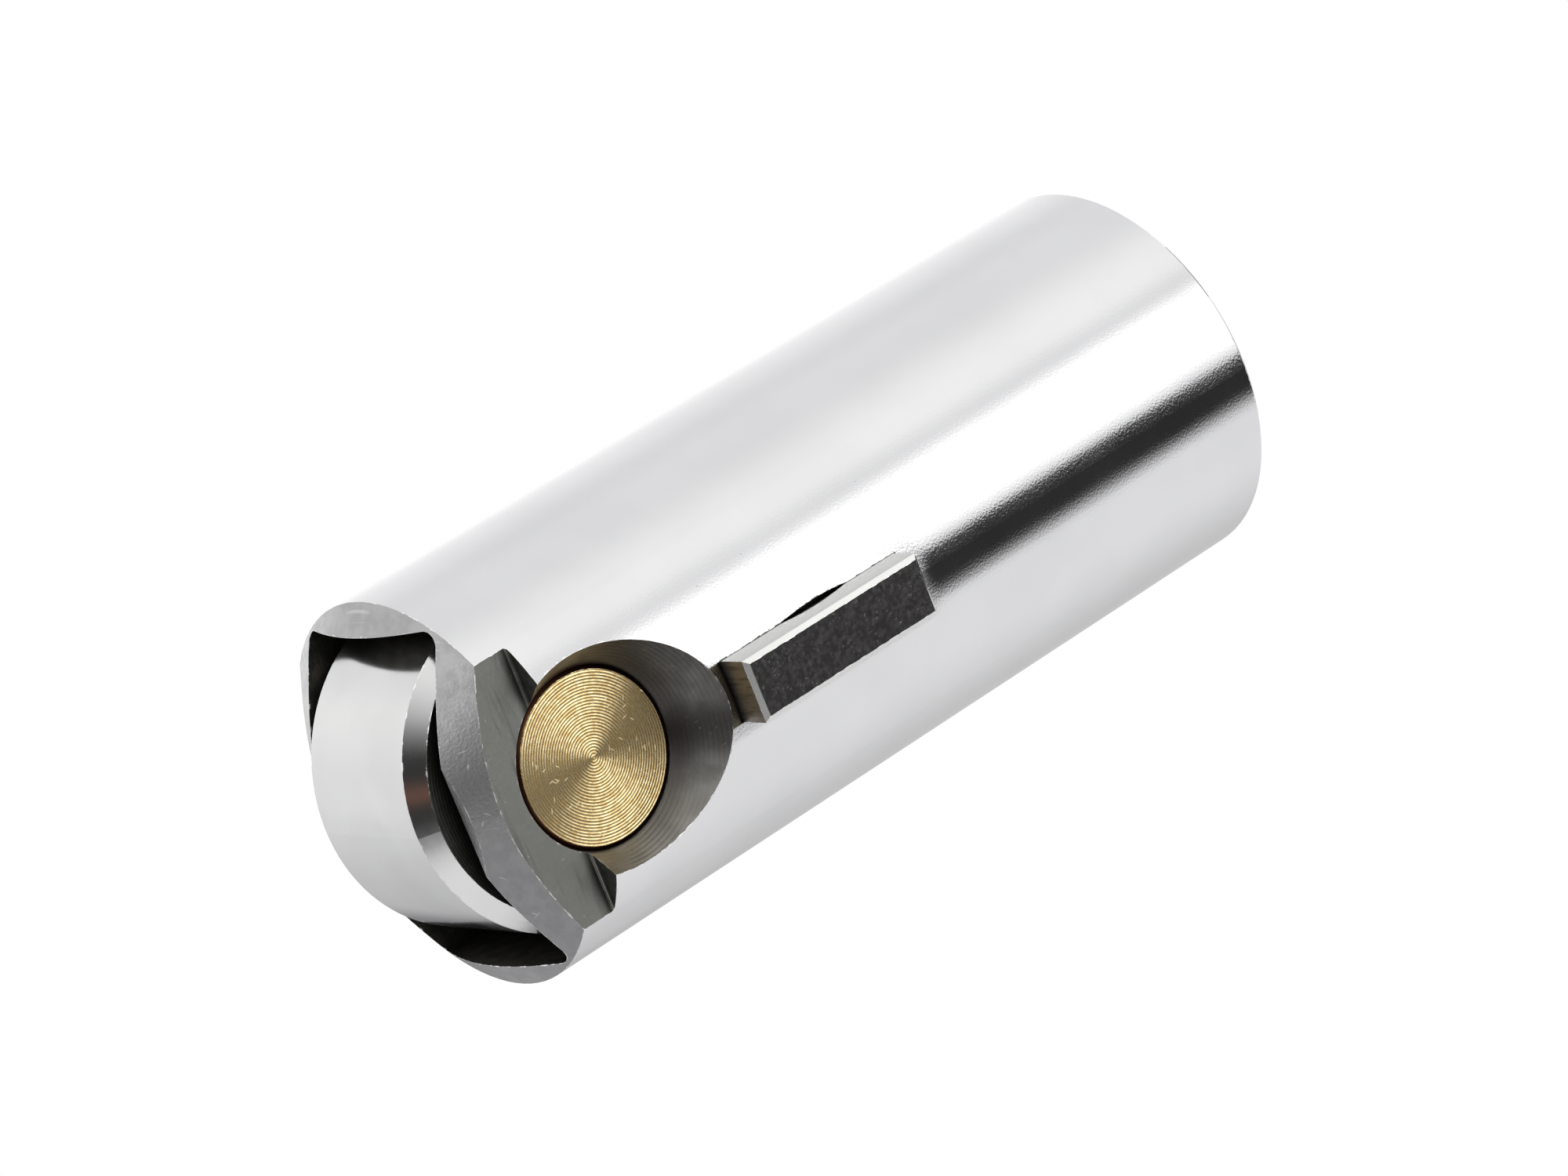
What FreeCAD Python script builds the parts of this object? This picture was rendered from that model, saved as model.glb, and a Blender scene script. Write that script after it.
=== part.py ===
import FreeCAD, Part
import math
import os
import Sketcher
from FreeCAD import Vector

# A roller tappet. It slides in a round guide between a cam and a pushrod.
# The frame: the open pushrod end stands on z = 0, centred on the Z axis.
# Z runs along the body toward the roller, X along the roller's pin toward the key.

document = FreeCAD.newDocument("roller_tappet")

# Sizes in millimetres and degrees. Each one is a cell of the sheet, under its own name.
SIZES = {
    "body_diameter": 35.0,
    "body_length": 85.0,
    "end_chamfer": 0.5,
    # The roller end: a flat nose with a cone around it that ends in the rim.
    "nose_diameter": 21.2,
    "nose_height": 4.4,
    # The pocket that the roller turns in, wide along X and long along Y.
    "pocket_width": 18.9,
    "pocket_corner_radius": 1.5,
    "pocket_end_clearance": 0.6,
    "pocket_floor_clearance": 1.5,
    # The two flats beside the pocket, measured across them and down from the nose.
    "flats_across": 25.8,
    "flat_length": 7.7,
    "flat_foot_radius": 0.3,
    # The floating pin, set just inside the flats, and the flared recess around each end.
    "pin_below_nose": 11.5,
    "pin_diameter": 15.0,
    "pin_setback": 0.15,
    "pin_chamfer": 0.36,
    "pin_clearance": 0.02,
    "recess_setback": 0.2,
    "recess_half_angle": 35.0,
    # The roller: a straight tread, a wide bevel, and a raised hub on each side.
    "roller_diameter": 28.8,
    "bevel_width": 1.25,
    "bevel_rise": 1.5,
    "hub_diameter": 20.0,
    "hub_rise": 1.2,
    "hub_side_clearance": 0.25,
    "roller_clearance": 0.04,
    "roller_bore_chamfer": 0.5,
    # The bore for the pushrod, with a hardened cup pressed in at its bottom.
    "bore_diameter": 20.0,
    "bore_chamfer": 1.0,
    "web_thickness": 8.6,
    "seat_diameter": 16.0,
    "seat_thickness": 9.0,
    "seat_chamfer": 0.4,
    "cup_radius": 7.0,
    "cup_depth": 5.0,
    "seat_oil_hole": 3.0,
    "web_oil_hole": 4.0,
    # The guide key, which keeps the roller in line with the cam.
    "key_width": 5.5,
    "key_length": 19.65,
    "key_depth": 2.9,
    "key_projection": 3.1,
    "key_chamfer": 0.4,
    "key_below_pin": 21.47,
    "keyway_end_gap": 0.3,
    # The relief on each side of the keyway, measured along the key's side and out from it.
    "relief_length": 7.8,
    "relief_width": 0.29,
    "relief_depth": 1.2,
    "relief_below_pin": 22.2,
}

# Places worked out from the sizes, as formulas that stay bound to the sheet.
BODY_RADIUS = "sizes.body_diameter / 2"
PIN_HEIGHT = "(sizes.body_length - sizes.pin_below_nose)"
PIN_HOLE_RADIUS = "sizes.pin_diameter / 2 + sizes.pin_clearance"
POCKET_LENGTH = "(sizes.roller_diameter + 2 * sizes.pocket_end_clearance)"
POCKET_FLOOR = PIN_HEIGHT + " - sizes.roller_diameter / 2 - sizes.pocket_floor_clearance"
SEAT_TOP = POCKET_FLOOR + " - sizes.web_thickness"
SEAT_BOTTOM = SEAT_TOP + " - sizes.seat_thickness"
KEY_HEIGHT = PIN_HEIGHT + " - sizes.key_below_pin"
KEYWAY_FLOOR = BODY_RADIUS + " - sizes.key_depth"
RELIEF_HEIGHT = PIN_HEIGHT + " - sizes.relief_below_pin"

# Two places nearer than this, in millimetres, are taken as the same one.
SAME_PLACE = 0.01


def write_sheet():
    """Put every size in the sheet, beside its name."""
    sheet = document.addObject("Spreadsheet::Sheet", "sizes")
    for row, (name, value) in enumerate(SIZES.items(), start=1):
        sheet.set("A%d" % row, name)
        sheet.set("B%d" % row, str(value))
        sheet.setAlias("B%d" % row, name)
    document.recompute()


def worth(formula):
    """What a formula comes to, with the sizes that are in the sheet."""
    return float(document.sizes.evalExpression(formula))


def new_body(node, height=None):
    """A solid under its node name, raised along Z to a height where one is given."""
    body = document.addObject("PartDesign::Body", node)
    body.Label = node
    if height:
        body.setExpression("Placement.Base.z", height)
    return body


def own_plane(body, role):
    """One of the three planes through the body's own origin."""
    for feature in body.Origin.OriginFeatures:
        if feature.Role == role:
            return feature
    raise RuntimeError("%s has no %s" % (body.Label, role))


def new_sketch(body, name, role, offset=None):
    """An empty sketch on one of the body's own planes, moved off it by the offset."""
    sketch = body.newObject("Sketcher::SketchObject", name)
    sketch.AttachmentSupport = [(own_plane(body, role), "")]
    sketch.MapMode = "FlatFace"
    if offset:
        sketch.setExpression("AttachmentOffset.Base.z", offset)
    return sketch


def give_size(sketch, constraint, formula):
    """Add a constraint whose value follows a formula."""
    index = sketch.addConstraint(constraint)
    sketch.setExpression("Constraints[%d]" % index, formula)


def hold(sketch, edge, point, across=None, up=None):
    """Hold a point of an edge at its distances from the sketch's origin."""
    vertical_axis, horizontal_axis = -2, -1
    for kind, axis, formula in (
        ("DistanceX", vertical_axis, across),
        ("DistanceY", horizontal_axis, up),
    ):
        if formula == "0":
            sketch.addConstraint(Sketcher.Constraint("PointOnObject", edge, point, axis))
        elif formula:
            distance = Sketcher.Constraint(kind, -1, 1, edge, point, worth(formula))
            give_size(sketch, distance, formula)


def add_outline(sketch, corners):
    """A closed outline of straight lines through corners given as pairs of formulas."""
    first = sketch.GeometryCount
    count = len(corners)
    places = [Vector(worth(across), worth(up), 0) for across, up in corners]
    for number in range(count):
        line = Part.LineSegment(places[number], places[(number + 1) % count])
        sketch.addGeometry(line)
    for number, (across, up) in enumerate(corners):
        edge = first + number
        following = first + (number + 1) % count
        sketch.addConstraint(Sketcher.Constraint("Coincident", edge, 2, following, 1))
        hold(sketch, edge, 1, across, up)


def add_circle(sketch, up, radius):
    """A circle centred on the sketch's upright axis."""
    centre = Vector(0, worth(up), 0)
    circle = Part.Circle(centre, Vector(0, 0, 1), worth(radius))
    edge = sketch.addGeometry(circle)
    hold(sketch, edge, 3, "0", up)
    give_size(sketch, Sketcher.Constraint("Radius", edge, worth(radius)), radius)


def add_rounded_box(sketch, width, length, radius):
    """A rectangle about the origin whose corners are quarter circles."""
    half_sizes = (worth(width) / 2, worth(length) / 2)
    corner = worth(radius)
    for side in range(4):
        turn = side * math.pi / 2
        out = Vector(math.cos(turn), math.sin(turn), 0)
        left = Vector(-math.sin(turn), math.cos(turn), 0)
        middle = out * half_sizes[side % 2]
        reach = left * (half_sizes[(side + 1) % 2] - corner)
        centre = middle + reach - out * corner
        circle = Part.Circle(centre, Vector(0, 0, 1), corner)
        sketch.addGeometry(Part.LineSegment(middle - reach, middle + reach))
        sketch.addGeometry(Part.ArcOfCircle(circle, turn, turn + math.pi / 2))
        sign = "-" if side > 1 else ""
        line = 2 * side
        if side % 2 == 0:
            sketch.addConstraint(Sketcher.Constraint("Vertical", line))
            hold(sketch, line, 1, across="%s%s / 2" % (sign, width))
        else:
            sketch.addConstraint(Sketcher.Constraint("Horizontal", line))
            hold(sketch, line, 1, up="%s%s / 2" % (sign, length))
    for side in range(4):
        line = 2 * side
        arc = line + 1
        following = (line + 2) % 8
        sketch.addConstraint(Sketcher.Constraint("Tangent", line, 2, arc, 1))
        sketch.addConstraint(Sketcher.Constraint("Tangent", arc, 2, following, 1))
        if side:
            sketch.addConstraint(Sketcher.Constraint("Equal", 1, arc))
    give_size(sketch, Sketcher.Constraint("Radius", 1, corner), radius)


def revolve(body, name, sketch, axis, kind="Revolution"):
    """Turn an outline a full circle, to add a solid or, as a groove, to take it away."""
    feature = body.newObject("PartDesign::" + kind, name)
    feature.Profile = sketch
    feature.ReferenceAxis = (sketch, [axis])
    feature.Angle = 360
    return feature


def cut_outward(body, name, sketch):
    """Cut an outline from its plane to the outside, along the plane's normal."""
    feature = body.newObject("PartDesign::Pocket", name)
    feature.Profile = sketch
    feature.Type = "ThroughAll"
    feature.Reversed = True
    return feature


def cut_across(body, name, sketch):
    """Cut an outline right through the body, both ways from its plane."""
    feature = body.newObject("PartDesign::Pocket", name)
    feature.Profile = sketch
    feature.SideType = "Symmetric"
    feature.Type = "ThroughAll"
    return feature


def straight_edges(shape, direction, test):
    """The names of the straight edges along a direction whose middle passes the test."""
    names = []
    for number, edge in enumerate(shape.Edges, start=1):
        if edge.Curve.TypeId != "Part::GeomLine":
            continue
        along = edge.tangentAt(edge.FirstParameter)
        if along.cross(direction).Length < SAME_PLACE and test(edge.CenterOfMass):
            names.append("Edge%d" % number)
    return names


def turn_body_blank(body):
    """The ground cylinder with its chamfered open end and its coned roller end."""
    sketch = new_sketch(body, "blank_outline", "XZ_Plane")
    length = "sizes.body_length"
    add_outline(sketch, [
        ("0", "0"),
        (BODY_RADIUS + " - sizes.end_chamfer", "0"),
        (BODY_RADIUS, "sizes.end_chamfer"),
        (BODY_RADIUS, length + " - sizes.nose_height"),
        ("sizes.nose_diameter / 2", length),
        ("0", length),
    ])
    return revolve(body, "blank", sketch, "V_Axis")


def bore_body(body):
    """The stepped bore for the pushrod and its cup, and the oil hole above them."""
    sketch = new_sketch(body, "bore_outline", "XZ_Plane")
    bore = "sizes.bore_diameter / 2"
    seat = "sizes.seat_diameter / 2"
    oil = "sizes.web_oil_hole / 2"
    add_outline(sketch, [
        ("0", "0"),
        (bore + " + sizes.bore_chamfer", "0"),
        (bore, "sizes.bore_chamfer"),
        (bore, SEAT_BOTTOM),
        (seat, SEAT_BOTTOM),
        (seat, SEAT_TOP),
        (oil, SEAT_TOP),
        (oil, PIN_HEIGHT),
        ("0", PIN_HEIGHT),
    ])
    return revolve(body, "bore", sketch, "V_Axis", "Groove")


def cut_roller_pocket(body):
    """The rectangular pocket for the roller; its round corners leave a thin wall."""
    sketch = new_sketch(body, "pocket_outline", "XY_Plane", POCKET_FLOOR)
    add_rounded_box(sketch, "sizes.pocket_width", POCKET_LENGTH, "sizes.pocket_corner_radius")
    return cut_outward(body, "roller_pocket", sketch)


def cut_flats(body):
    """The flat beside each end of the pin; its foot has the radius of the cutter's corner."""
    sketch = new_sketch(body, "flat_outlines", "XZ_Plane")
    inner = "sizes.flats_across / 2"
    foot = "sizes.body_length - sizes.flat_length"
    past_side = "sizes.body_diameter"
    past_nose = "sizes.body_length + sizes.nose_height"
    for sign in ("", "-"):
        near = sign + inner
        far = sign + past_side
        add_outline(sketch, [(near, foot), (far, foot), (far, past_nose), (near, past_nose)])
    flats = cut_across(body, "flats", sketch)
    document.recompute()

    def at_foot(middle):
        off_flat = abs(abs(middle.x) - worth(inner))
        off_foot = abs(middle.z - worth(foot))
        return max(off_flat, off_foot) < SAME_PLACE

    fillet = body.newObject("PartDesign::Fillet", "flat_feet")
    fillet.Base = (flats, straight_edges(flats.Shape, Vector(0, 1, 0), at_foot))
    fillet.setExpression("Radius", "sizes.flat_foot_radius")
    return fillet


def drill_pin_hole(body):
    """The cross hole for the pin, flared to the outside from just inside each flat."""
    sketch = new_sketch(body, "pin_hole_outline", "YZ_Plane")
    add_circle(sketch, PIN_HEIGHT, PIN_HOLE_RADIUS)
    cut_across(body, "pin_hole", sketch)

    sketch = new_sketch(body, "recess_outlines", "XZ_Plane")
    sketch.setExpression("AttachmentOffset.Base.y", PIN_HEIGHT)
    start = "(sizes.flats_across / 2 - sizes.recess_setback)"
    past_side = "sizes.body_diameter"
    flare = "(%s - %s) * tan(sizes.recess_half_angle * 1 deg)" % (past_side, start)
    mouth = PIN_HOLE_RADIUS + " + " + flare
    for sign in ("", "-"):
        near = sign + start
        far = sign + past_side
        add_outline(sketch, [(near, "0"), (near, PIN_HOLE_RADIUS), (far, mouth), (far, "0")])
    return revolve(body, "pin_recesses", sketch, "H_Axis", "Groove")


def cut_keyway(body):
    """The slot that the key is pressed into."""
    sketch = new_sketch(body, "keyway_outline", "YZ_Plane", KEYWAY_FLOOR)
    side = "sizes.key_width / 2"
    reach = "(sizes.key_length / 2 + sizes.keyway_end_gap)"
    low = "%s - %s" % (KEY_HEIGHT, reach)
    high = "%s + %s" % (KEY_HEIGHT, reach)
    add_outline(sketch, [(side, high), ("-" + side, high), ("-" + side, low), (side, low)])
    return cut_outward(body, "keyway", sketch)


def dress_keyway(body):
    """The middle of the keyway's long edges, cut back in a shallow arc on each side."""
    sketch = new_sketch(body, "relief_outline", "YZ_Plane", BODY_RADIUS + " - sizes.relief_depth")
    width = "sizes.relief_width"
    half_length = "(sizes.relief_length / 2)"
    bow = "(%s^2 / (2 * %s) + %s / 2)" % (half_length, width, width)
    # The chord that closes each arc lies as far inside the key's side as the arc bows outside.
    chord_across = "(sizes.key_width / 2 - %s)" % width
    half_chord = "sqrt(2 * (%s^2 - %s^2))" % (half_length, width)
    low = "%s - %s" % (RELIEF_HEIGHT, half_chord)
    high = "%s + %s" % (RELIEF_HEIGHT, half_chord)
    radius = worth(bow)
    spread = math.asin(worth(half_chord) / radius)
    middle = "(sizes.key_width / 2 + %s - %s)" % (width, bow)
    for sign, facing, start, end in (("", 0, low, high), ("-", math.pi, high, low)):
        centre = Vector(worth(sign + middle), worth(RELIEF_HEIGHT), 0)
        circle = Part.Circle(centre, Vector(0, 0, 1), radius)
        arc = Part.ArcOfCircle(circle, facing - spread, facing + spread)
        edge = sketch.addGeometry(arc)
        chord = sketch.addGeometry(Part.LineSegment(arc.EndPoint, arc.StartPoint))
        sketch.addConstraint(Sketcher.Constraint("Coincident", edge, 2, chord, 1))
        sketch.addConstraint(Sketcher.Constraint("Coincident", chord, 2, edge, 1))
        give_size(sketch, Sketcher.Constraint("Radius", edge, radius), bow)
        hold(sketch, edge, 1, sign + chord_across, start)
        hold(sketch, edge, 2, sign + chord_across, end)
    return cut_outward(body, "keyway_relief", sketch)


def make_tappet_body():
    """The steel body, in the order a shop would cut it."""
    body = new_body("tappet_body")
    turn_body_blank(body)
    bore_body(body)
    cut_roller_pocket(body)
    cut_flats(body)
    drill_pin_hole(body)
    cut_keyway(body)
    body.Tip = dress_keyway(body)
    return body


def make_roller():
    """The roller, turned about its own bore, with the X axis as its axle."""
    body = new_body("roller", PIN_HEIGHT)
    sketch = new_sketch(body, "roller_outline", "XZ_Plane")
    bore = "sizes.pin_diameter / 2 + sizes.roller_clearance"
    hub = "sizes.hub_diameter / 2"
    tread = "sizes.roller_diameter / 2"
    hub_end = "sizes.pocket_width / 2 - sizes.hub_side_clearance"
    side = hub_end + " - sizes.hub_rise"
    right = [
        (hub_end + " - sizes.roller_bore_chamfer", bore),
        (hub_end, bore + " + sizes.roller_bore_chamfer"),
        (hub_end, hub),
        (side, hub),
        (side, tread + " - sizes.bevel_rise"),
        (side + " - sizes.bevel_width", tread),
    ]
    left = [("-(%s)" % across, up) for across, up in reversed(right)]
    add_outline(sketch, right + left)
    body.Tip = revolve(body, "turned_roller", sketch, "H_Axis")
    return body


def make_roller_pin():
    """The bronze pin, free to turn in the body and in the roller."""
    body = new_body("roller_pin", PIN_HEIGHT)
    sketch = new_sketch(body, "pin_outline", "XZ_Plane")
    radius = "sizes.pin_diameter / 2"
    end = "(sizes.flats_across / 2 - sizes.pin_setback)"
    add_outline(sketch, [
        ("-" + end, "0"),
        (end, "0"),
        (end, radius + " - sizes.pin_chamfer"),
        (end + " - sizes.pin_chamfer", radius),
        ("-(%s - sizes.pin_chamfer)" % end, radius),
        ("-" + end, radius + " - sizes.pin_chamfer"),
    ])
    body.Tip = revolve(body, "turned_pin", sketch, "H_Axis")
    return body


def make_guide_key():
    """The key: a square bar whose outer face is chamfered all round."""
    body = new_body("guide_key", KEY_HEIGHT)
    sketch = new_sketch(body, "key_outline", "YZ_Plane", KEYWAY_FLOOR)
    side = "sizes.key_width / 2"
    end = "sizes.key_length / 2"
    add_outline(sketch, [(side, end), ("-" + side, end), ("-" + side, "-" + end), (side, "-" + end)])
    bar = body.newObject("PartDesign::Pad", "key_bar")
    bar.Profile = sketch
    bar.setExpression("Length", "sizes.key_depth + sizes.key_projection")
    document.recompute()

    def on_outer_face(middle):
        return abs(middle.x - worth(BODY_RADIUS + " + sizes.key_projection")) < SAME_PLACE

    edges = []
    for direction in (Vector(0, 1, 0), Vector(0, 0, 1)):
        edges += straight_edges(bar.Shape, direction, on_outer_face)
    chamfer = body.newObject("PartDesign::Chamfer", "key_edges")
    chamfer.Base = (bar, edges)
    chamfer.setExpression("Size", "sizes.key_chamfer")
    body.Tip = chamfer
    return body


def make_pushrod_seat():
    """The hardened cup that the pushrod's ball end rocks in."""
    body = new_body("pushrod_seat", SEAT_BOTTOM)
    sketch = new_sketch(body, "seat_outline", "XZ_Plane")
    radius = "sizes.seat_diameter / 2"
    top = "sizes.seat_thickness"
    add_outline(sketch, [
        ("0", "0"),
        (radius, "0"),
        (radius, top + " - sizes.seat_chamfer"),
        (radius + " - sizes.seat_chamfer", top),
        ("0", top),
    ])
    revolve(body, "seat_blank", sketch, "V_Axis")

    ball = body.newObject("PartDesign::SubtractiveSphere", "cup")
    ball.AttachmentSupport = [(own_plane(body, "XY_Plane"), "")]
    ball.MapMode = "FlatFace"
    ball.setExpression("Radius", "sizes.cup_radius")
    ball.setExpression("AttachmentOffset.Base.z", "sizes.cup_depth - sizes.cup_radius")

    sketch = new_sketch(body, "oil_hole_outline", "XY_Plane")
    add_circle(sketch, "0", "sizes.seat_oil_hole / 2")
    body.Tip = cut_across(body, "oil_hole", sketch)
    return body


def check_everything(bodies):
    """Stop if a feature failed, or if a cut took nothing away."""
    for item in document.Objects:
        for word in ("Invalid", "Error"):
            if word in item.State:
                raise RuntimeError("%s is %s" % (item.Name, word))
    for body in bodies:
        if body.Shape.isNull() or not body.Shape.isValid() or len(body.Shape.Solids) != 1:
            raise RuntimeError("%s has no sound solid" % body.Label)
        volume = 0.0
        for feature in body.Group:
            if feature.isDerivedFrom("Sketcher::SketchObject"):
                continue
            if abs(feature.Shape.Volume - volume) < SAME_PLACE ** 3:
                raise RuntimeError("%s changes nothing" % feature.Name)
            volume = feature.Shape.Volume


def main():
    write_sheet()
    bodies = [
        make_tappet_body(),
        make_roller(),
        make_roller_pin(),
        make_guide_key(),
        make_pushrod_seat(),
    ]
    document.recompute()
    check_everything(bodies)
    os.makedirs("parts", exist_ok=True)
    for body in bodies:
        body.Shape.exportStep("parts/%s.step" % body.Label)
        box = body.Shape.BoundBox
        print("%-14s %8.1f mm3  x %.2f %.2f  y %.2f %.2f  z %.2f %.2f" % (
            body.Label, body.Shape.Volume,
            box.XMin, box.XMax, box.YMin, box.YMax, box.ZMin, box.ZMax))


main()
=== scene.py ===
# %% [markdown]
# # A roller tappet in the studio
# A roller tappet stands between a cam and a pushrod. The cam pushes its roller, the ground body
# slides in a round guide, and a key on its side keeps the roller in line with the cam. The solids
# are already made, so this lesson is about surfaces: how to show where a piece was ground, where it
# was only turned or milled, and where the heat of hardening has left it dark. We start by loading
# the solids, which stay exactly where they are, and we note how large the whole object is.

# %% Load the frame
import math
import bpy
from mathutils import Matrix, Vector

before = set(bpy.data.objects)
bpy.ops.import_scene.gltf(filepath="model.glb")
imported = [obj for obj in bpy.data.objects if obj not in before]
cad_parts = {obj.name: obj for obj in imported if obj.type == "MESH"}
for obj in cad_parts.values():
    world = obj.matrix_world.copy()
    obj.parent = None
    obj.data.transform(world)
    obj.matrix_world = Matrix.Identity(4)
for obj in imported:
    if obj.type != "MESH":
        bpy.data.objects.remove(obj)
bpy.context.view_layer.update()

MM = 0.001
print("pieces:", ", ".join(sorted(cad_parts)))

# %% [markdown]
# ## The camera
# The camera looks down at the roller end from the key's side and is rolled, so that the standing
# tappet seems to lie across the picture. Its place was found by matching the outlines. A long lens
# from far away keeps the two ends nearly the same width. A camera's own axes are the columns of its
# matrix, so we can write them down instead of hunting for three angles.

# %% Camera
camera = bpy.data.objects.new("camera", bpy.data.cameras.new("camera"))
bpy.context.scene.collection.objects.link(camera)
camera_right = Vector((0.60019, -0.35800, -0.71527))
camera_up = Vector((0.00257, 0.89511, -0.44585))
camera_back = Vector((0.79986, 0.26575, 0.53815))
camera_place = Vector((382.717, 126.576, 299.316)) * MM
camera.matrix_world = (Matrix.Translation(camera_place)
                       @ Matrix((camera_right, camera_up, camera_back)).transposed().to_4x4())
camera.data.sensor_width = 36
camera.data.lens = 129.345
bpy.context.scene.camera = camera
print("camera distance, mm:", round(camera_place.length / MM))

# %% [markdown]
# ## Small helpers for nodes
# A finish is a little network of nodes. Writing every node out in full hides the idea, so we make a
# few helpers. They add a node, feed a socket, do one sum, fade softly from one value to another,
# keep what several masks have in common, mix two colours, start a new group, and place a group that
# is ready. A value that is given to them may be a plain number or the output of another node.

# %% Node helpers
def add_node(tree, kind, **settings):
    node = tree.nodes.new(kind)
    for name, value in settings.items():
        setattr(node, name, value)
    return node


def give(tree, socket, value):
    if isinstance(value, bpy.types.NodeSocket):
        tree.links.new(value, socket)
    else:
        socket.default_value = value


def work_out(tree, operation, *values):
    node = add_node(tree, "ShaderNodeMath", operation=operation)
    for socket, value in zip(node.inputs, values):
        give(tree, socket, value)
    return node.outputs[0]


def fade(tree, value, start, end, low=0.0, high=1.0):
    node = add_node(tree, "ShaderNodeMapRange", interpolation_type="SMOOTHSTEP")
    for socket, wanted in zip(node.inputs, (value, start, end, low, high)):
        give(tree, socket, wanted)
    return node.outputs[0]


def overlap(tree, *masks):
    mask = masks[0]
    for other in masks[1:]:
        mask = work_out(tree, "MULTIPLY", mask, other)
    return mask


def mix_colours(tree, share, first, second):
    node = add_node(tree, "ShaderNodeMix", data_type="RGBA")
    for name, value in (("Factor_Float", share), ("A_Color", first), ("B_Color", second)):
        give(tree, next(s for s in node.inputs if s.identifier == name), value)
    return next(s for s in node.outputs if s.identifier == "Result_Color")


def new_group(name, inputs, outputs):
    group = bpy.data.node_groups.new(name, "ShaderNodeTree")
    for label, kind, value in inputs:
        socket = group.interface.new_socket(label, in_out="INPUT", socket_type=kind)
        socket.default_value = value
    for label, kind in outputs:
        group.interface.new_socket(label, in_out="OUTPUT", socket_type=kind)
    return group, add_node(group, "NodeGroupInput").outputs, add_node(group, "NodeGroupOutput").inputs


def place_group(tree, group, **values):
    node = add_node(tree, "ShaderNodeGroup", node_tree=group)
    for name, value in values.items():
        give(tree, node.inputs[name.replace("_", " ").title()], value)
    return node.outputs


print("helpers ready")

# %% [markdown]
# ## The studio
# Bright metal has hardly any colour of its own: it shows the room. A photographer lights it with
# boards. A long white light gives the burnt-out streak along the body, and a black card beside it
# gives the dark streak that makes the metal look hard. We build that room as the world around the
# object. Each board is a soft-edged patch of directions, given by its turn round the object and its
# height above or below the horizon, in degrees. A board may lean, so that its middle moves to one
# side with the height. Area lights could stand there instead, but polished metal shows a board by
# its direction alone, and a direction is easy to read off a streak. One group makes the patch, and
# every board uses it.

# %% Group for one studio board
board, given, made = new_group(
    "studio_board",
    [("Turn", "NodeSocketFloat", 0.0), ("Height", "NodeSocketFloat", 0.0),
     ("Middle", "NodeSocketFloat", 0.0), ("Half Width", "NodeSocketFloat", 10.0),
     ("Soft Start", "NodeSocketFloat", 5.0), ("Soft End", "NodeSocketFloat", 5.0),
     ("Bottom", "NodeSocketFloat", -90.0), ("Top", "NodeSocketFloat", 90.0),
     ("Soft Height", "NodeSocketFloat", 10.0), ("Lean", "NodeSocketFloat", 0.0)],
    [("Mask", "NodeSocketFloat")])


def soft_edge(value, middle, softness, low, high):
    start = work_out(board, "SUBTRACT", middle, softness)
    end = work_out(board, "ADD", middle, softness)
    return fade(board, value, start, end, low, high)


leaning = work_out(board, "MULTIPLY", given["Height"], given["Lean"])
turned = work_out(board, "SUBTRACT", given["Turn"], given["Middle"])
turned = work_out(board, "SUBTRACT", turned, leaning)
turned = work_out(board, "WRAP", turned, -180.0, 180.0)
near_side = work_out(board, "MULTIPLY", given["Half Width"], -1.0)
edges = [soft_edge(turned, near_side, given["Soft Start"], 0.0, 1.0),
         soft_edge(turned, given["Half Width"], given["Soft End"], 1.0, 0.0),
         soft_edge(given["Height"], given["Bottom"], given["Soft Height"], 0.0, 1.0),
         soft_edge(given["Height"], given["Top"], given["Soft Height"], 1.0, 0.0)]
give(board, made["Mask"], overlap(board, *edges))
print("one board group with", len(board.nodes), "nodes")

# %% [markdown]
# Now the room itself. The direction in which a ray leaves gives its turn and its height. We start
# from one even bright tone and hang the boards one over the other, so a later board covers an
# earlier one. All of them come from one table, which is easier to tune than fifteen blocks of code.

# %% Hang the boards
world = bpy.data.worlds.new("studio")
world.use_nodes = True
bpy.context.scene.world = world
room = world.node_tree
room.nodes.clear()
direction = add_node(room, "ShaderNodeSeparateXYZ")
give(room, direction.inputs[0], add_node(room, "ShaderNodeTexCoord").outputs["Generated"])
turn = work_out(room, "ARCTAN2", direction.outputs["Y"], direction.outputs["X"])
turn = work_out(room, "DEGREES", turn)
height = work_out(room, "DEGREES", work_out(room, "ARCSINE", direction.outputs["Z"]))

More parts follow.
